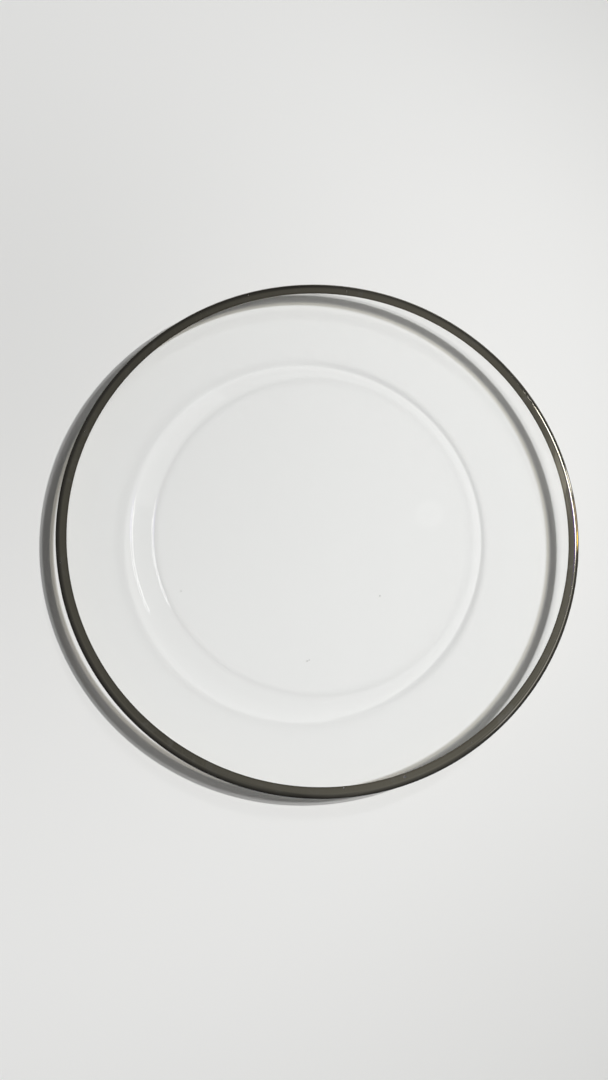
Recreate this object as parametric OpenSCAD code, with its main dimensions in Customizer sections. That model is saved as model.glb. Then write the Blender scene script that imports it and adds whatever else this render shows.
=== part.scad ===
// Round glass charger plate with a metal band fired round its rim.
// One sheet of clear glass is bent into a flat floor, a short shoulder and a wide, gently rising
// flange. At the rim its top face rolls over, and the band covers the roll and runs a little way in
// over the flange. Past the band the glass ends in a tighter round edge. The origin is the centre of
// the flat underside, and +Z is the plate's axis.

/* [Plate] */
// Overall diameter
plate_d = 330; // [300:5:360]
// Overall height, from the underside of the floor to the top of the band
plate_h = 17; // [15:0.5:21]
// Thickness of the glass
glass_t = 4; // [3:0.25:5]

/* [Well] */
// Diameter of the flat part of the well's floor
floor_d = 206; // [180:2:216]
// Inside radius of the bend where the floor turns up into the shoulder
floor_bend_r = 8; // [4:0.5:14]
// Slope of the shoulder above the horizontal, in degrees
shoulder_slope = 30; // [24:1:45]

/* [Flange] */
// Underside radius of the bend where the shoulder turns out into the flange
flange_bend_r = 6; // [3:0.5:12]
// Slope of the flange above the horizontal, in degrees
flange_slope = 6; // [3:0.5:8]

/* [Rim] */
// Radius that the flange's top face rolls over with
rim_roll_r = 4.4; // [2:0.2:6]
// Turn of that roll in degrees, up to where the tighter round edge starts
rim_roll_turn = 45; // [20:5:60]

/* [Rim band] */
// Width of the band's flat part on the flange, measured in from the start of the roll
band_flat_w = 3.4; // [1:0.2:8]
// Thickness of the band
band_t = 0.2; // [0.1:0.05:0.4]

/* [Hidden] */

// Sides of a full turn about the axis, and steps along each curve of the outline
$fn = 180;
bend_steps = 10;
roll_steps = 8;
edge_steps = 8;

// Every bend is the same sheet turned, so its middle line has a radius of its own
half_t = glass_t / 2;
floor_r = floor_d / 2;
floor_mid_r = floor_bend_r + half_t;
flange_mid_r = flange_bend_r + half_t;
flange_turn = shoulder_slope - flange_slope;

// Unit steps along the shoulder and the flange, outwards, and square to them, upwards
shoulder_along = [cos(shoulder_slope), sin(shoulder_slope)];
shoulder_up = [-sin(shoulder_slope), cos(shoulder_slope)];
flange_along = [cos(flange_slope), sin(flange_slope)];
flange_up = [-sin(flange_slope), cos(flange_slope)];

// The round edge starts where the roll ends, and its radius is what brings it round to the underside
edge_from = 90 + flange_slope - rim_roll_turn;
edge_rise = cos(rim_roll_turn);
edge_r = (glass_t - rim_roll_r * (1 - edge_rise)) / (1 + edge_rise);

// Centres of the roll and of the round edge, which set how high and how far out the rim reaches
roll_centre = [
    plate_d / 2 - edge_r - (rim_roll_r - edge_r) * cos(edge_from),
    plate_h - band_t - rim_roll_r
];
edge_centre = roll_centre + (rim_roll_r - edge_r) * [cos(edge_from), sin(edge_from)];

// End of the flange's middle line, where the roll starts
flange_end = roll_centre + (rim_roll_r - half_t) * flange_up;

// The floor's bend turns about a centre above the sheet, and the flange's about one below it.
// Between the bends the shoulder is straight. Its length is what brings the flange to its end.
floor_centre = [floor_r, half_t + floor_mid_r];
shoulder_start = floor_centre - floor_mid_r * shoulder_up;
gap = flange_end - shoulder_start + flange_mid_r * (shoulder_up - flange_up);
shoulder_len = (gap[1] * flange_along[0] - gap[0] * flange_along[1]) / sin(flange_turn);
flange_centre = shoulder_start + shoulder_len * shoulder_along - flange_mid_r * shoulder_up;

// Directions on the roll, from square to the flange over the crown, and on the round edge, over the
// outermost point to square to the underside
roll_turns = concat(
    [90 + flange_slope],
    [for (i = [0:roll_steps]) 90 + (edge_from - 90) * i / roll_steps]
);
edge_turns = concat(
    [for (i = [1:edge_steps]) edge_from * (1 - i / edge_steps)],
    [for (i = [1:edge_steps]) (flange_slope - 90) * i / edge_steps]
);

// Points about a centre in given directions, and in even steps from one to another
function about(centre, r, turns) = [for (a = turns) centre + r * [cos(a), sin(a)]];
function arc(centre, r, from, to, steps) =
    about(centre, r, [for (i = [0:steps]) from + (to - from) * i / steps]);

// Points over the roll at a height off the glass
function roll_face(off) = about(roll_centre, rim_roll_r + off, roll_turns);

function backwards(points) = [for (i = [len(points) - 1:-1:0]) points[i]];

// Outline of the glass: out along the top, round the rim and back along the underside
function glass_outline() = concat(
    [[0, glass_t]],
    arc(floor_centre, floor_bend_r, -90, shoulder_slope - 90, bend_steps),
    arc(flange_centre, flange_mid_r + half_t, 90 + shoulder_slope, 90 + flange_slope, bend_steps),
    roll_face(0),
    about(edge_centre, edge_r, edge_turns),
    arc(flange_centre, flange_bend_r, 90 + flange_slope, 90 + shoulder_slope, bend_steps),
    arc(floor_centre, floor_mid_r + half_t, shoulder_slope - 90, -90, bend_steps),
    [[0, 0]]
);

// One face of the band at a height off the glass: its flat part, then over the roll
function band_face(off) = concat(
    [roll_centre + (rim_roll_r + off) * flange_up - band_flat_w * flange_along],
    roll_face(off)
);

// Outline of the band, which lies face to face on the glass
function band_outline() = concat(band_face(band_t), backwards(band_face(0)));

module glass_plate() {
    color("azure", 0.35) rotate_extrude() polygon(glass_outline());
}

module rim_band() {
    color("dimgray") rotate_extrude() polygon(band_outline());
}

glass_plate();
rim_band();
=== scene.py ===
import math
import bpy
from mathutils import Matrix, Vector


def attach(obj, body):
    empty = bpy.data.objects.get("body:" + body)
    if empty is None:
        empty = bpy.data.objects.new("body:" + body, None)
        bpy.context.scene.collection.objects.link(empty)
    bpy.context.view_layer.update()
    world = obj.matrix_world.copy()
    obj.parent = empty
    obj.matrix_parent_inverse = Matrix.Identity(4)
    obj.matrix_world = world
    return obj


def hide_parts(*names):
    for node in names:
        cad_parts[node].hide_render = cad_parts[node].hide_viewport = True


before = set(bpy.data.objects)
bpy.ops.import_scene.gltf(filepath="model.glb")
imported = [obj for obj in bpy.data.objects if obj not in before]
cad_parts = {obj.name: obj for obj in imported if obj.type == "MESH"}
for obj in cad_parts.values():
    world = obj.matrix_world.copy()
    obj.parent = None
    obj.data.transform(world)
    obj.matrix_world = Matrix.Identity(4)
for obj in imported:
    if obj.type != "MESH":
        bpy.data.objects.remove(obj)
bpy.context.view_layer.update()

# Sizes of the plate in metres, as the solids have them
GLASS_T = 0.004
PLATE_R = 0.165
PLATE_H = 0.017
FLOOR_R = 0.103
FLOOR_BEND_R = 0.008
FLANGE_BEND_R = 0.006
SHOULDER_SLOPE = math.radians(30)
FLANGE_SLOPE = math.radians(6)
ROLL_R = 0.0044
ROLL_TURN = math.radians(45)
BAND_T = 0.0002
BAND_FLAT_W = 0.0034
# The film stands this far off the glass, so that no two faces share a place
FILM_AIR = 0.00002
# Support points this close to a corner keep the faces' shading true up to it
CORNER = 0.00001
# Steps round the axis
TURN_STEPS = 480

# Marks seen on the plate, each as x, y, z and size: dust on the glass, and pinholes in the film
DUST = [
    (-0.0084, -0.0831, 0.004, 0.0005), (-0.0070, -0.0825, 0.004, 0.0004), (0.0395, 0.1194, 0.0124, 0.0005),
    (0.0381, -0.0420, 0.004, 0.0005), (-0.0877, -0.0397, 0.004, 0.0004),
]
PINHOLES = [
    (0.0176, 0.1599, 0.0167, 0.0005), (-0.1605, -0.0243, 0.0167, 0.0004), (0.1561, 0.0423, 0.0167, 0.0006),
    (0.0905, -0.1322, 0.0167, 0.0004), (0.0128, -0.1583, 0.0165, 0.0007), (0.0494, -0.1521, 0.0167, 0.0009),
]
# Light let down by radius in millimetres, in halves of what comes in: at the floor's bend, before
# the flange's bend, and at the flange's bend
FLOOR_BEND_LIGHT = [
    (98, 0.5), (100.5, 0.467), (101.8, 0.435), (103, 0.435), (104.5, 0.5), (106, 0.51), (108, 0.5),
]
SHOULDER_LIGHT = [(104, 0.5), (109, 0.518), (112, 0.54), (112.8, 0.5)]
FLANGE_BEND_LIGHT = [(112.2, 0.5), (113.7, 0.395), (115.4, 0.39), (117.4, 0.455), (120, 0.5)]
# The slanting light carries each bend's light sideways and stretches it: x, y and share across
FLOOR_BEND_SHIFT = (0.001, 0.0003, 0.988)
FLANGE_BEND_SHIFT = (0.0038, 0.0019, 0.973)
# Light let down beside the film, on the lamps' side of the plate and on the far side
NEAR_STRIP = [(155.8, 1.0), (156.1, (0.62, 0.60, 0.54)), (157.8, (0.54, 0.52, 0.46)), (158.4, 0.9)]
FAR_STRIP = [
    (155.5, 1.0), (156.0, (0.38, 0.36, 0.31)), (157.0, (0.24, 0.22, 0.19)), (157.8, (0.16, 0.15, 0.12)), (158.4, 0.9),
]
# How slantwise the lamps' rays meet the flange: at most this on their side, at least this on the other
LAMP_SIDE, FAR_SIDE = 0.145, 0.175
# The share of the lamps' light that the whole sheet lets down. A little over 1 sets the tone of the
# table under the glass against that of the open table.
SHEET_LIGHT = 1.015
# Roughness of the glass by radius in millimetres, and the film's colour, darker along its inner end and painted dark
# at its outer end as a painted shade for the roll's dark outline
GLASS_ROUGHNESS = [
    (0, 0.03), (102, 0.03), (104, 0.04), (108, 0.04), (110, 0.03), (115, 0.03), (117, 0.04), (122, 0.04), (124, 0.03),
]
FILM_COLOUR_AND_PAINTED_EDGE = [
    (157.7, (0.40, 0.36, 0.28)), (158.3, (0.42, 0.38, 0.30)), (158.7, (0.64, 0.60, 0.48)),
    (161.2, (0.64, 0.60, 0.48)), (162.5, (0.67, 0.63, 0.53)), (163.7, (0.70, 0.66, 0.56)), (164.0, (0.2, 0.19, 0.17)),
]
# Where the film lets slanting light out: over the roll, on the lamps' side and on the far side
THIN_FILM = [(162.8, 0), (163.2, 1)]
NEAR_FILM = [(158.4, 0.5), (158.7, 0.09)]
FAR_FILM = [(161.4, 0), (162.4, 0.25)]
# Painted light on the table: which way its tone rises, per metre, and the middle of its painted shade
TABLE_PAINTED_LIGHT_SLOPE = (-1.5, 0.145, 0.0)
TABLE_PAINTED_SHADE = (-0.242, 0.115, 0.0)
# The painted shade's size and depth, the painted fall of light away from the plate, and what comes off everywhere
PAINTED_SHADE_REACH, PAINTED_SHADE_DEPTH = 0.44, 0.58
PAINTED_LIGHT_FALL, TABLE_DIMMING = 0.6, 0.015
# The table fades into the pale room between these squares of the distance
TABLE_FADE = (0.2, 1.3)
PALE_ROOM = (0.8, 0.8, 0.79)
# How bright the room is by height, and from one side to the other, as polished surfaces show it
ROOM_HEIGHTS = [(0.0, 0.045), (0.5, 0.025), (0.8, 0.045), (0.94, 0.07), (1.0, 0.1)]
WINDOWS = [
    (0.45, 0.58), (0.483, 0.58), (0.497, 0.5), (0.508, 0.42), (0.52, 0.62), (0.535, 0.68), (0.55, 0.87), (0.56, 0.87),
    (0.567, 0.74), (0.576, 0.82), (0.583, 1.25), (0.6, 1.0),
]
# The same towards the room's far end
ROOM_ENDS = [(0.12, 1.0), (0.26, 0.92)]
# The lamps that light the table, each by its place, radius and level
LAMPS = {
    "key lamp": ((0.4884, 0.1037, 0.7721), 0.009, 0.79),
    "second lamp": ((0.66964, 0.73764, 1.03564), 0.02, 0.06),
}
# The panes that polished surfaces show, each by its turn and height in degrees, its width, how tall
# it is, its level and its colour
GLINTS = {
    "long lamp": (25, 47, 0.57, 0.26, 4.5, (1, 1, 1)),
    "pale strip": (-14, 46, 1.0, 0.4, 0.3, (1, 1, 1)),
    "small lamp": (42.3, 71, 0.07, 0.07, 0.27, (1, 1, 1)),
    "violet fringe": (21, 57.8, 0.17, 0.34, 0.8, (0.25, 0.08, 1.0)),
    "amber fringe": (8.3, 18, 0.082, 0.5, 2.2, (1.0, 0.7, 0.13)),
    "peach fringe": (13, 18, 0.18, 0.5, 0.6, (1.0, 0.78, 0.55)),
    "pale fringe": (20.5, 18, 0.12, 0.5, 1.8, (1, 1, 1)),
}
GLINT_DISTANCE = 1.6
# The camera's place and target, its focal length in the photograph's pixels, the photograph's height
# in pixels, and how far its middle lies off the lens's axis in pixels
EYE, TARGET = Vector((-0.03794, -0.1061, 0.52908)), Vector((-0.01117, -0.00945, 0.017))
FOCAL_PIXELS, PHOTO_PIXELS = 835, 1080
SHIFT_PIXELS = (0.33, 1.12)

HALF_T = GLASS_T / 2
FLOOR_MID_R = FLOOR_BEND_R + HALF_T
FLANGE_MID_R = FLANGE_BEND_R + HALF_T
QUARTER = math.pi / 2


def along(slope):
    return Vector((math.cos(slope), math.sin(slope)))


def square_to(slope):
    return Vector((-math.sin(slope), math.cos(slope)))


# The tighter round edge starts where the roll ends, and comes round square to the underside
EDGE_FROM = QUARTER + FLANGE_SLOPE - ROLL_TURN
EDGE_R = (GLASS_T - ROLL_R * (1 - math.cos(ROLL_TURN))) / (1 + math.cos(ROLL_TURN))
EDGE = Vector((PLATE_R - EDGE_R, PLATE_H - BAND_T - ROLL_R + (ROLL_R - EDGE_R) * math.sin(EDGE_FROM)))
ROLL = EDGE - (ROLL_R - EDGE_R) * along(EDGE_FROM)


def bend_centres():
    """Centre of the floor's bend above the sheet, and of the flange's bend below it."""
    floor = Vector((FLOOR_R, HALF_T + FLOOR_MID_R))
    start = floor - FLOOR_MID_R * square_to(SHOULDER_SLOPE)
    end = ROLL + (ROLL_R - HALF_T) * square_to(FLANGE_SLOPE)
    gap = end - start + FLANGE_MID_R * (square_to(SHOULDER_SLOPE) - square_to(FLANGE_SLOPE))
    flat = along(FLANGE_SLOPE)
    shoulder = (gap.y * flat.x - gap.x * flat.y) / math.sin(SHOULDER_SLOPE - FLANGE_SLOPE)
    flange = start + shoulder * along(SHOULDER_SLOPE) - FLANGE_MID_R * square_to(SHOULDER_SLOPE)
    return floor, flange


def arc(centre, r, start, end, steps):
    turns = [start + (end - start) * i / steps for i in range(steps + 1)]
    return [centre + r * along(t) for t in turns]


def filled(points, longest=0.004, edge=0.0004):
    """The same outline with more points on its straight runs, and one close to each end of a run."""
    out = [points[0]]
    for a, b in zip(points, points[1:]):
        run = (b - a).length
        if run > 3 * edge:
            inner = max(1, round((run - 2 * edge) / longest))
            marks = [edge + (run - 2 * edge) * i / inner for i in range(inner + 1)]
            out += [a + (b - a) * (m / run) for m in marks]
        out.append(b)
    return out


def roll_face(off):
    return arc(ROLL, ROLL_R + off, QUARTER + FLANGE_SLOPE, EDGE_FROM, 16)


def glass_outline():
    floor, flange = bend_centres()
    up, down = SHOULDER_SLOPE - QUARTER, SHOULDER_SLOPE + QUARTER
    points = [Vector((0, GLASS_T))]
    points += arc(floor, FLOOR_BEND_R, -QUARTER, up, 20)
    points += arc(flange, FLANGE_MID_R + HALF_T, down, QUARTER + FLANGE_SLOPE, 16)
    points += roll_face(0) + arc(EDGE, EDGE_R, EDGE_FROM, FLANGE_SLOPE - QUARTER, 24)[1:]
    points += arc(flange, FLANGE_BEND_R, QUARTER + FLANGE_SLOPE, down, 16)
    points += arc(floor, FLOOR_MID_R + HALF_T, up, -QUARTER, 20)
    return filled(points + [Vector((0, 0))])


def band_outline():
    """The film's flat part and roll. Its ends are true corners."""
    def face(off):
        inner = ROLL + (ROLL_R + off) * square_to(FLANGE_SLOPE) - BAND_FLAT_W * along(FLANGE_SLOPE)
        step = CORNER * along(FLANGE_SLOPE)
        turns = roll_face(off)
        last = turns[-1] - CORNER * (turns[-1] - turns[-2]).normalized()
        return [inner] + filled([inner + step] + turns[:-1], edge=0.0002) + [last, turns[-1]]

    def wall(a, b):
        step = CORNER * (b - a).normalized()
        return [a + step, b - step]
    outer, inner = face(BAND_T), face(FILM_AIR)
    return outer + wall(outer[-1], inner[-1]) + inner[::-1] + wall(inner[0], outer[0])


# Node trees

def node(tree, kind, inputs=None, **settings):
    """A new node with its settings, and its inputs by name or number, each a value or another socket."""
    made = tree.nodes.new(kind)
    for name, value in settings.items():
        setattr(made, name, value)
    for name, value in (inputs or {}).items():
        if isinstance(value, bpy.types.NodeSocket):
            tree.links.new(value, made.inputs[name])
        else:
            made.inputs[name].default_value = value
    return made


def math_node(tree, operation, *values, clamp=False):
    made = node(tree, "ShaderNodeMath", dict(enumerate(values)), operation=operation, use_clamp=clamp)
    return made.outputs[0]


def vector_node(tree, operation, a, b, output):
    return node(tree, "ShaderNodeVectorMath", {0: a, 1: b}, operation=operation).outputs[output]


def turning_tree():
    """Turns an outline of points round the vertical axis into a closed skin."""
    tree = bpy.data.node_groups.new("turned_outline", "GeometryNodeTree")
    sockets = tree.interface.new_socket
    sockets("Outline", in_out="INPUT", socket_type="NodeSocketGeometry")
    sockets("Steps round", in_out="INPUT", socket_type="NodeSocketInt")
    sockets("Points along", in_out="INPUT", socket_type="NodeSocketInt")
    sockets("Finish", in_out="INPUT", socket_type="NodeSocketMaterial")
    sockets("Skin", in_out="OUTPUT", socket_type="NodeSocketGeometry")
    given = node(tree, "NodeGroupInput").outputs
    columns = math_node(tree, "ADD", given["Steps round"], 1)
    grid = node(tree, "GeometryNodeMeshGrid", {"Vertices X": columns, "Vertices Y": given["Points along"]})
    index = node(tree, "GeometryNodeInputIndex").outputs[0]
    middle = math_node(tree, "ADD", index, 0.5)
    column = math_node(tree, "FLOOR", math_node(tree, "DIVIDE", middle, given["Points along"]))
    row = math_node(tree, "SUBTRACT", index, math_node(tree, "MULTIPLY", column, given["Points along"]))
    count = node(tree, "GeometryNodeAttributeDomainSize", {"Geometry": given["Outline"]})
    point = node(tree, "GeometryNodeSampleIndex", {
        "Geometry": given["Outline"],
        "Value": node(tree, "GeometryNodeInputPosition").outputs[0],
        "Index": math_node(tree, "MODULO", row, count.outputs["Point Count"]),
    }, data_type="FLOAT_VECTOR")
    place = node(tree, "ShaderNodeSeparateXYZ", {0: point.outputs[0]}).outputs
    turn = math_node(tree, "MULTIPLY", math_node(tree, "DIVIDE", column, given["Steps round"]), math.tau)
    spot = node(tree, "ShaderNodeCombineXYZ", {
        "X": math_node(tree, "MULTIPLY", place["X"], math_node(tree, "COSINE", turn)),
        "Y": math_node(tree, "MULTIPLY", place["X"], math_node(tree, "SINE", turn)),
        "Z": place["Z"],
    }).outputs[0]
    skin = grid.outputs["Mesh"]
    skin = node(tree, "GeometryNodeSetPosition", {"Geometry": skin, "Position": spot}).outputs[0]
    skin = node(tree, "GeometryNodeMergeByDistance", {"Geometry": skin, "Distance": 0.000001}).outputs[0]
    skin = node(tree, "GeometryNodeFlipFaces", {"Mesh": skin}).outputs[0]
    skin = node(tree, "GeometryNodeSetShadeSmooth", {"Geometry": skin, "Shade Smooth": True}).outputs[0]
    skin = node(tree, "GeometryNodeRealizeInstances", {"Geometry": skin}).outputs[0]
    skin = node(tree, "GeometryNodeSetMaterial", {"Geometry": skin, "Material": given["Finish"]}).outputs[0]
    node(tree, "NodeGroupOutput", {0: skin})
    return tree


def turned(name, outline, closed, finish, tree):
    """A plain mesh made by turning the outline, which closes on itself or ends on the axis twice."""
    source = bpy.data.meshes.new(name + "_outline")
    source.from_pydata([(p.x, 0, p.y) for p in outline], [], [])
    piece = bpy.data.objects.new(name, source)
    bpy.context.scene.collection.objects.link(piece)
    modifier = piece.modifiers.new("turning", "NODES")
    modifier.node_group = tree
    points = len(outline) + (1 if closed else 0)
    values = {"Steps round": TURN_STEPS, "Points along": points, "Finish": finish}
    for socket in tree.interface.items_tree:
        if socket.in_out == "INPUT" and socket.name in values:
            modifier[socket.identifier] = values[socket.name]
    solid = bpy.data.meshes.new_from_object(piece.evaluated_get(bpy.context.evaluated_depsgraph_get()))
    piece.modifiers.clear()
    piece.data = solid
    solid.name = name
    return piece


def ramp(tree, fac, stops, interpolation="LINEAR"):
    """A colour ramp. Each stop is a place and a colour or a grey."""
    made = node(tree, "ShaderNodeValToRGB", {0: fac})
    made.color_ramp.interpolation = interpolation
    elements = made.color_ramp.elements
    while len(elements) < len(stops):
        elements.new(1)
    for element, (place, colour) in zip(elements, stops):
        element.position = place
        element.color = tuple(colour) + (1,) if isinstance(colour, tuple) else (colour, colour, colour, 1)
    return made.outputs[0]


def blend(tree, fac, a, b, kind="MIX"):
    """Two colours mixed, each given as a colour or a socket."""
    a, b = [v if isinstance(v, bpy.types.NodeSocket) else tuple(v) + (1,) for v in (a, b)]
    return node(tree, "ShaderNodeMixRGB", {0: fac, 1: a, 2: b}, blend_type=kind).outputs[0]


def step_up(tree, value, low, high):
    """Zero up to low, one from high on, and smooth between."""
    given = {"Value": value, "From Min": low, "From Max": high}
    return node(tree, "ShaderNodeMapRange", given, interpolation_type="SMOOTHSTEP").outputs[0]


def scaled(tree, place, factor):
    return node(tree, "ShaderNodeVectorMath", {0: place, "Scale": factor}, operation="SCALE").outputs[0]


# Effects that several materials share. Each puts out a mask or a height.

def effect(name, inputs, output):
    """A shader group with its named inputs, and one output to be linked."""
    tree = bpy.data.node_groups.new(name, "ShaderNodeTree")
    for label in inputs:
        kind = "NodeSocketVector" if label in ("Place", "Spot") else "NodeSocketFloat"
        tree.interface.new_socket(label, in_out="INPUT", socket_type=kind)
    tree.interface.new_socket(output, in_out="OUTPUT", socket_type="NodeSocketFloat")
    return tree, node(tree, "NodeGroupInput").outputs


def end_effect(tree, value):
    node(tree, "NodeGroupOutput", {0: value})
    return tree


def use(tree, shared, values):
    """The output of a shared effect in a material."""
    made = tree.nodes.new("ShaderNodeGroup")
    made.node_tree = shared
    for label, value in values.items():
        if isinstance(value, bpy.types.NodeSocket):
            tree.links.new(value, made.inputs[label])
        else:
            made.inputs[label].default_value = value
    return made.outputs[0]


def specks_effect():
    """Small round dots strewn at random, one in each cell that the share lets through."""
    tree, given = effect("specks", ["Place", "Cell", "Dot", "Share"], "Mask")
    cells = scaled(tree, given["Place"], math_node(tree, "DIVIDE", 1.0, given["Cell"]))
    found = node(tree, "ShaderNodeTexVoronoi", {"Vector": cells, "Scale": 1.0}).outputs
    draw = node(tree, "ShaderNodeSeparateColor", {0: found["Color"]}).outputs
    size = math_node(tree, "DIVIDE", given["Dot"], given["Cell"])
    size = math_node(tree, "MULTIPLY", size, math_node(tree, "ADD", draw["Green"], 0.4))
    inside = math_node(tree, "SUBTRACT", 1.0, math_node(tree, "DIVIDE", found["Distance"], size), clamp=True)
    inside = math_node(tree, "MULTIPLY", inside, 2.5, clamp=True)
    kept = math_node(tree, "LESS_THAN", draw["Red"], given["Share"])
    return end_effect(tree, math_node(tree, "MULTIPLY", inside, kept))


def hairlines_effect():
    """Fine straight scratches, in two crossing directions, broken up so that few of them are long."""
    tree, given = effect("hairlines", ["Place", "Spacing", "Share"], "Mask")
    out = None
    for angle, seed in ((0.5, 0.0), (2.1, 7.3)):
        turned_place = node(tree, "ShaderNodeMapping", {
            "Vector": scaled(tree, given["Place"], math_node(tree, "DIVIDE", 1.0, given["Spacing"])),
            "Location": (seed, seed, 0), "Rotation": (0, 0, angle), "Scale": (1.0, 0.06, 1.0)}).outputs[0]
        cells = {"Vector": turned_place, "Scale": 1.0}
        bent = node(tree, "ShaderNodeTexVoronoi", cells, feature="DISTANCE_TO_EDGE").outputs["Distance"]
        line = math_node(tree, "SUBTRACT", 1.0, math_node(tree, "DIVIDE", bent, 0.03), clamp=True)
        cloud = {"Vector": turned_place, "Scale": 0.9, "Detail": 1.0}
        breaks = node(tree, "ShaderNodeTexNoise", cloud).outputs[0]
        bound = math_node(tree, "SUBTRACT", 0.75, math_node(tree, "MULTIPLY", given["Share"], 0.35))
        line = math_node(tree, "MULTIPLY", line, math_node(tree, "GREATER_THAN", breaks, bound))
        out = line if out is None else math_node(tree, "MAXIMUM", out, line)
    return end_effect(tree, out)


def smears_effect():
    """Soft patches where the surface was wiped or handled."""
    tree, given = effect("smears", ["Place", "Size", "Share"], "Mask")
    place = scaled(tree, given["Place"], math_node(tree, "DIVIDE", 1.0, given["Size"]))
    cloud = node(tree, "ShaderNodeTexNoise", {
        "Vector": place, "Scale": 1.0, "Detail": 4.0, "Roughness": 0.6, "Distortion": 0.8,
    }).outputs[0]
    low = math_node(tree, "SUBTRACT", 0.7, math_node(tree, "MULTIPLY", given["Share"], 0.3))
    return end_effect(tree, step_up(tree, cloud, low, math_node(tree, "ADD", low, 0.15)))


def waves_effect():
    """The slight unevenness that fire polishing leaves."""
    tree, given = effect("waves", ["Place", "Size", "Depth"], "Height")
    place = scaled(tree, given["Place"], math_node(tree, "DIVIDE", 1.0, given["Size"]))
    cloud = node(tree, "ShaderNodeTexNoise", {"Vector": place, "Scale": 1.0, "Detail": 1.5}).outputs[0]
    return end_effect(tree, math_node(tree, "MULTIPLY", cloud, given["Depth"]))


def mark_effect():
    """One round mark at a given spot."""
    tree, given = effect("mark", ["Place", "Spot", "Size"], "Mask")
    apart = vector_node(tree, "DISTANCE", given["Place"], given["Spot"], "Value")
    inside = math_node(tree, "SUBTRACT", 1.0, math_node(tree, "DIVIDE", apart, given["Size"]), clamp=True)
    return end_effect(tree, math_node(tree, "MULTIPLY", inside, 2.0, clamp=True))


def marks(tree, shared, place, spots):
    """The strongest of several marks, each given by x, y, z and size."""
    out = None
    for x, y, z, size in spots:
        one = use(tree, shared["mark"], {"Place": place, "Spot": (x, y, z), "Size": size})
        out = one if out is None else math_node(tree, "MAXIMUM", out, one)
    return out


def new_material(name):
    made = bpy.data.materials.new(name)
    made.use_nodes = True
    made.node_tree.nodes.clear()
    return made, made.node_tree


def plate_space(tree):
    """Object coordinates, and the distance from the plate's axis in shares of its radius."""
    place = node(tree, "ShaderNodeTexCoord").outputs["Object"]
    place = node(tree, "ShaderNodeMapping", {"Vector": place}).outputs[0]
    return place, radius_from(tree, place, 0, 0, 1)


def radius_from(tree, place, x, y, across):
    """The distance from an upright axis at -x and -y, in shares of the plate's radius."""
    moved = vector_node(tree, "ADD", place, (x, y, 0), 0)
    flat = vector_node(tree, "MULTIPLY", moved, (1, across, 0), 0)
    r = node(tree, "ShaderNodeVectorMath", {0: flat}, operation="LENGTH").outputs["Value"]
    return math_node(tree, "DIVIDE", r, PLATE_R)


def by_radius(tree, r, stops):
    """Colours by distance from the axis in millimetres."""
    return ramp(tree, r, [(mm / (1000 * PLATE_R), value) for mm, value in stops])


def clear_glass(shared):
    made, tree = new_material("clear_glass")
    place, r = plate_space(tree)
    dust = use(tree, shared["specks"], {"Place": place, "Cell": 0.05, "Dot": 0.0004, "Share": 0.4})
    dust = math_node(tree, "MAXIMUM", dust, marks(tree, shared, place, DUST))
    scratches = use(tree, shared["hairlines"], {"Place": place, "Spacing": 0.02, "Share": 0.5})
    wiped = use(tree, shared["smears"], {"Place": place, "Size": 0.06, "Share": 0.5})
    rough = by_radius(tree, r, GLASS_ROUGHNESS)
    rough = math_node(tree, "ADD", rough, math_node(tree, "MULTIPLY", wiped, 0.02))
    rough = math_node(tree, "ADD", rough, math_node(tree, "MULTIPLY", scratches, 0.12))
    height = use(tree, shared["waves"], {"Place": place, "Size": 0.03, "Depth": 0.00001})
    bump = node(tree, "ShaderNodeBump", {"Height": height, "Strength": 1.0, "Distance": 1.0}).outputs[0]
    # The bare edge past the film is painted dark: a painted shade standing in for the dark it shows by turning the
    # light away
    painted_dark_edge = by_radius(tree, r, [(163.9, 0), (164.3, 1)])
    body = blend(tree, painted_dark_edge, (0.995, 1, 0.998), (0.02, 0.02, 0.02))
    shell = node(tree, "ShaderNodeBsdfPrincipled", {
        "Base Color": blend(tree, dust, body, (0.25, 0.24, 0.22)),
        "Roughness": rough,
        "IOR": 1.5,
        "Transmission Weight": 1.0,
        "Normal": bump,
    })
    # Light on its way down is dimmed and gathered where the sheet bends, most where it comes in at a
    # slant, and dimmed beside the film
    facing = node(tree, "ShaderNodeLayerWeight", {"Blend": 0.5}).outputs["Facing"]
    far_side = step_up(tree, facing, LAMP_SIDE, FAR_SIDE)
    light = blend(tree, far_side, by_radius(tree, r, NEAR_STRIP), by_radius(tree, r, FAR_STRIP))
    for stops, shift, low, high, least in (
        (FLOOR_BEND_LIGHT, FLOOR_BEND_SHIFT, 0.1, 0.22, 0.25),
        (SHOULDER_LIGHT, FLANGE_BEND_SHIFT, 0.0, 0.1, 1.0),
        (FLANGE_BEND_LIGHT, FLANGE_BEND_SHIFT, 0.15, 0.42, 0.25),
    ):
        amount = math_node(tree, "MAXIMUM", step_up(tree, facing, low, high), least)
        bent = by_radius(tree, radius_from(tree, place, *shift), stops)
        bent = scaled(tree, blend(tree, amount, (0.5, 0.5, 0.5), bent), 2.0)
        light = blend(tree, 1.0, light, bent, "MULTIPLY")
    light = scaled(tree, light, SHEET_LIGHT)
    back = node(tree, "ShaderNodeNewGeometry").outputs["Backfacing"]
    through = node(tree, "ShaderNodeBsdfTransparent", {"Color": blend(tree, back, (1, 1, 1), light)})
    # Rays from a lamp, and rays already scattered by the table, go straight through
    path = node(tree, "ShaderNodeLightPath").outputs
    scattered = math_node(tree, "GREATER_THAN", path["Diffuse Depth"], 0.5)
    straight = math_node(tree, "MAXIMUM", path["Is Shadow Ray"], scattered)
    both = node(tree, "ShaderNodeMixShader", {0: straight, 1: shell.outputs[0], 2: through.outputs[0]})
    node(tree, "ShaderNodeOutputMaterial", {"Surface": both.outputs[0]})
    return made


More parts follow.
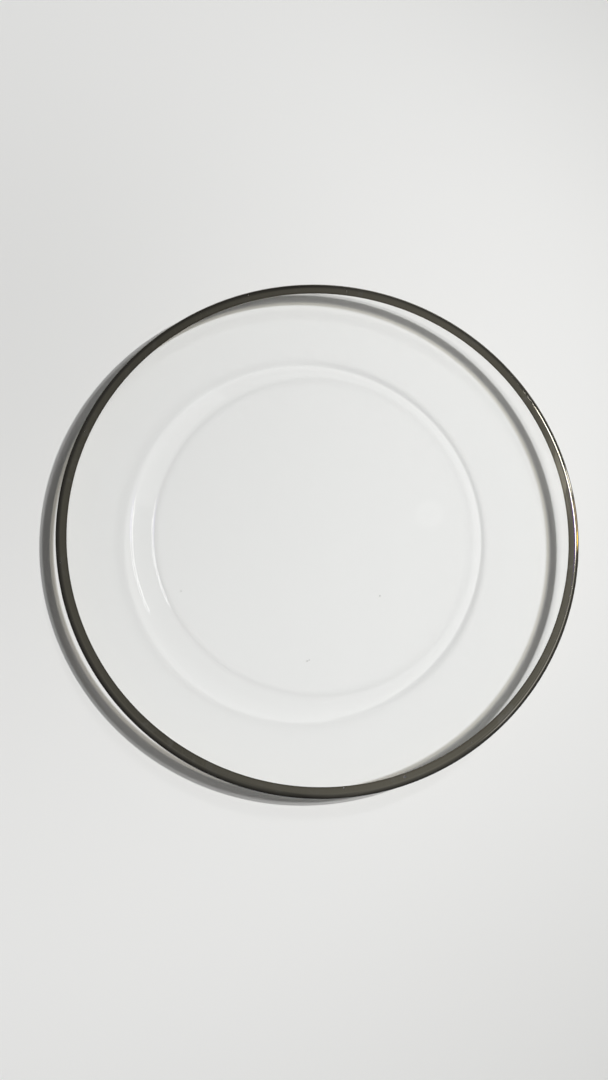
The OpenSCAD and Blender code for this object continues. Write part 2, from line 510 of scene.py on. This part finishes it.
def fired_metal(shared):
    made, tree = new_material("fired_metal")
    place, r = plate_space(tree)
    pinholes = use(tree, shared["specks"], {"Place": place, "Cell": 0.006, "Dot": 0.00022, "Share": 0.16})
    pinholes = math_node(tree, "MAXIMUM", pinholes, marks(tree, shared, place, PINHOLES))
    scratches = use(tree, shared["hairlines"], {"Place": place, "Spacing": 0.006, "Share": 0.6})
    wiped = use(tree, shared["smears"], {"Place": place, "Size": 0.012, "Share": 0.5})
    # The film is darker along its inner end, and painted dark at its outer end: a painted shade for the dark outline
    # the roll shows
    colour = by_radius(tree, r, FILM_COLOUR_AND_PAINTED_EDGE)
    colour = blend(tree, math_node(tree, "MULTIPLY", wiped, 0.35), colour, (0.78, 0.76, 0.70))
    colour = blend(tree, pinholes, colour, (0.95, 0.95, 0.92))
    rough = math_node(tree, "ADD", math_node(tree, "MULTIPLY", wiped, 0.05), 0.08)
    rough = math_node(tree, "ADD", rough, math_node(tree, "MULTIPLY", scratches, 0.1))
    rough = math_node(tree, "ADD", rough, math_node(tree, "MULTIPLY", pinholes, 0.5))
    height = use(tree, shared["waves"], {"Place": place, "Size": 0.004, "Depth": 0.000004})
    height = math_node(tree, "SUBTRACT", height, math_node(tree, "MULTIPLY", pinholes, 0.00003))
    bump = node(tree, "ShaderNodeBump", {"Height": height, "Strength": 1.0, "Distance": 1.0}).outputs[0]
    # A lamp's ray is traced up from the table. It enters the film's underside freely. A little of it
    # leaves by the top on the lamps' side, and more at the inner end and where the film thins out
    # over the roll.
    path = node(tree, "ShaderNodeLightPath").outputs
    facing = node(tree, "ShaderNodeLayerWeight", {"Blend": 0.5}).outputs["Facing"]
    kept = math_node(tree, "SUBTRACT", 0.7, math_node(tree, "MULTIPLY", step_up(tree, facing, 0.5, 0.1), 0.6))
    gone = math_node(tree, "MULTIPLY", by_radius(tree, r, THIN_FILM), math_node(tree, "SUBTRACT", 1.0, kept))
    lamp_side = step_up(tree, facing, FAR_SIDE, LAMP_SIDE)
    near = math_node(tree, "MULTIPLY", lamp_side, by_radius(tree, r, NEAR_FILM))
    far = math_node(tree, "MULTIPLY", step_up(tree, facing, 0.2, 0.3), by_radius(tree, r, FAR_FILM))
    gone = math_node(tree, "MAXIMUM", gone, math_node(tree, "MAXIMUM", near, far))
    back = node(tree, "ShaderNodeNewGeometry").outputs["Backfacing"]
    gone = math_node(tree, "MAXIMUM", gone, math_node(tree, "SUBTRACT", 1.0, back))
    gone = math_node(tree, "MULTIPLY", gone, path["Is Shadow Ray"])
    shell = node(tree, "ShaderNodeBsdfPrincipled", {
        "Base Color": colour,
        "Roughness": rough,
        "Metallic": 1.0,
        "Alpha": math_node(tree, "SUBTRACT", 1.0, gone),
        "Normal": bump,
    })
    node(tree, "ShaderNodeOutputMaterial", {"Surface": shell.outputs[0]})
    return made


def table_top(shared):
    made, tree = new_material("pale_table")
    place = node(tree, "ShaderNodeTexCoord").outputs["Object"]
    # Painted light: the table's tone rises one way, standing in for the lamps' light across it
    way = vector_node(tree, "DOT_PRODUCT", place, TABLE_PAINTED_LIGHT_SLOPE, "Value")
    grain = node(tree, "ShaderNodeTexNoise", {"Vector": place, "Scale": 900.0, "Detail": 2.0}).outputs[0]
    cloud = node(tree, "ShaderNodeTexNoise", {"Vector": place, "Scale": 7.0, "Detail": 1.0}).outputs[0]
    tone = math_node(tree, "ADD", way, math_node(tree, "MULTIPLY", grain, 0.02))
    tone = math_node(tree, "ADD", tone, math_node(tree, "MULTIPLY", cloud, 0.02))
    # Painted shade and painted light fall-off: it is darker in a painted shade towards one side, and darker away from
    # the plate
    painted_shade = step_up(tree, vector_node(tree, "DISTANCE", place, TABLE_PAINTED_SHADE, "Value"), 0.0, PAINTED_SHADE_REACH)
    tone = math_node(tree, "ADD", tone, math_node(tree, "MULTIPLY", painted_shade, PAINTED_SHADE_DEPTH))
    away = vector_node(tree, "DOT_PRODUCT", place, place, "Value")
    tone = math_node(tree, "SUBTRACT", tone, math_node(tree, "MULTIPLY", away, PAINTED_LIGHT_FALL))
    tone = math_node(tree, "SUBTRACT", tone, TABLE_DIMMING)
    colour = ramp(tree, tone, [(0, (0.68, 0.68, 0.668)), (1, (0.98, 0.98, 0.968))])
    # Far off it fades into the pale room, for the camera and through clear glass
    path = node(tree, "ShaderNodeLightPath").outputs
    seen = math_node(tree, "MAXIMUM", path["Is Camera Ray"], path["Is Transmission Ray"])
    seen = math_node(tree, "MULTIPLY", seen, step_up(tree, away, *TABLE_FADE))
    shell = node(tree, "ShaderNodeBsdfPrincipled", {
        "Base Color": blend(tree, seen, colour, (0, 0, 0)),
        "Roughness": 0.9,
        "Specular IOR Level": 0.0,
        "Emission Color": blend(tree, seen, (0, 0, 0), PALE_ROOM),
        "Emission Strength": 1.0,
    })
    node(tree, "ShaderNodeOutputMaterial", {"Surface": shell.outputs[0]})
    return made


def table(shared):
    size = 12
    mesh = bpy.data.meshes.new("table")
    corners = [(-size, -size, -0.0002), (size, -size, -0.0002), (size, size, -0.0002), (-size, size, -0.0002)]
    mesh.from_pydata(corners, [], [(0, 1, 2, 3)])
    mesh.materials.append(table_top(shared))
    top = bpy.data.objects.new("table", mesh)
    bpy.context.scene.collection.objects.link(top)


def aimed(name, light, place):
    """The lamp in its place, aimed at the plate."""
    made = bpy.data.objects.new(name, light)
    made.location = place
    made.rotation_euler = (-Vector(place)).to_track_quat("-Z", "Y").to_euler()
    bpy.context.scene.collection.objects.link(made)
    return made


def lamp(name, place, radius, level):
    """A small round lamp that lights the table. Its level is the share of white that it gives."""
    light = bpy.data.lights.new(name, "AREA")
    light.shape = "DISK"
    light.size = 2 * radius
    light.energy = level * math.pi * math.pi / 0.8
    light.use_nodes = True
    tree = light.node_tree
    tree.nodes.clear()
    even = node(tree, "ShaderNodeLightFalloff", {"Strength": 1.0})
    glow = node(tree, "ShaderNodeEmission", {"Strength": even.outputs["Constant"]})
    node(tree, "ShaderNodeOutputLight", {0: glow.outputs[0]})
    made = aimed(name, light, place)
    made.visible_glossy = made.visible_transmission = False


def glint(name, azimuth, height, width, tall, level, colour):
    """A pane that only polished surfaces show. Its level is its brightness in shares of white."""
    light = bpy.data.lights.new(name, "AREA")
    light.shape = "ELLIPSE" if tall == width else "RECTANGLE"
    light.size, light.size_y = width, tall
    area = width * tall * (math.pi / 4 if tall == width else 1)
    light.energy, light.color = level * math.pi * area, colour
    a, h = math.radians(azimuth), math.radians(height)
    out = GLINT_DISTANCE * math.cos(h)
    place = (out * math.cos(a), out * math.sin(a), GLINT_DISTANCE * math.sin(h))
    aimed(name, light, place).visible_diffuse = False


def room():
    world = bpy.data.worlds.new("room")
    bpy.context.scene.world = world
    world.use_nodes = True
    tree = world.node_tree
    tree.nodes.clear()
    way = node(tree, "ShaderNodeTexCoord").outputs["Generated"]
    height = node(tree, "ShaderNodeSeparateXYZ", {0: way}).outputs["Z"]
    seen = ramp(tree, height, ROOM_HEIGHTS)
    side = node(tree, "ShaderNodeSeparateXYZ", {0: way}).outputs["X"]
    side = math_node(tree, "ADD", math_node(tree, "MULTIPLY", side, 0.5), 0.5)
    seen = blend(tree, 1.0, seen, ramp(tree, side, WINDOWS), "MULTIPLY")
    along_y = node(tree, "ShaderNodeSeparateXYZ", {0: way}).outputs["Y"]
    seen = blend(tree, 1.0, seen, ramp(tree, along_y, ROOM_ENDS), "MULTIPLY")
    seen = scaled(tree, seen, 2.0)
    light = node(tree, "ShaderNodeLightPath").outputs
    lit = blend(tree, light["Is Diffuse Ray"], seen, (0.13, 0.13, 0.13))
    unscattered = math_node(tree, "LESS_THAN", light["Diffuse Depth"], 0.5)
    clear = math_node(tree, "MULTIPLY", light["Is Transmission Ray"], unscattered)
    direct = math_node(tree, "MAXIMUM", light["Is Camera Ray"], clear)
    back = node(tree, "ShaderNodeBackground", {"Color": blend(tree, direct, lit, PALE_ROOM), "Strength": 1.0})
    node(tree, "ShaderNodeOutputWorld", {0: back.outputs[0]})


def camera():
    lens = bpy.data.cameras.new("camera")
    lens.sensor_width = 36
    lens.lens = lens.sensor_width * FOCAL_PIXELS / PHOTO_PIXELS
    lens.clip_start = 0.01
    lens.shift_x, lens.shift_y = [pixels / PHOTO_PIXELS for pixels in SHIFT_PIXELS]
    eye = bpy.data.objects.new("camera", lens)
    eye.location = EYE
    way = (TARGET - EYE).normalized()
    right = way.cross(Vector((0, 1, 0))).normalized()
    up = right.cross(way)
    bpy.context.scene.camera = eye
    eye.rotation_euler = Matrix((right, up, -way)).transposed().to_euler()
    bpy.context.scene.collection.objects.link(eye)


shared = {
    "specks": specks_effect(), "hairlines": hairlines_effect(), "smears": smears_effect(), "waves": waves_effect(),
    "mark": mark_effect(),
}
turning = turning_tree()
plate = turned("plate", glass_outline(), False, clear_glass(shared), turning)
band = turned("band", band_outline(), True, fired_metal(shared), turning)
for piece, cad, finish in ((plate, "glass_plate", "clear_glass"), (band, "rim_band", "fired_metal")):
    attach(piece, "root")
    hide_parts(cad)

table(shared)
for name, setting in LAMPS.items():
    lamp(name, *setting)
for name, setting in GLINTS.items():
    glint(name, *setting)
room()
camera()
bpy.context.scene.view_settings.view_transform = "Standard"
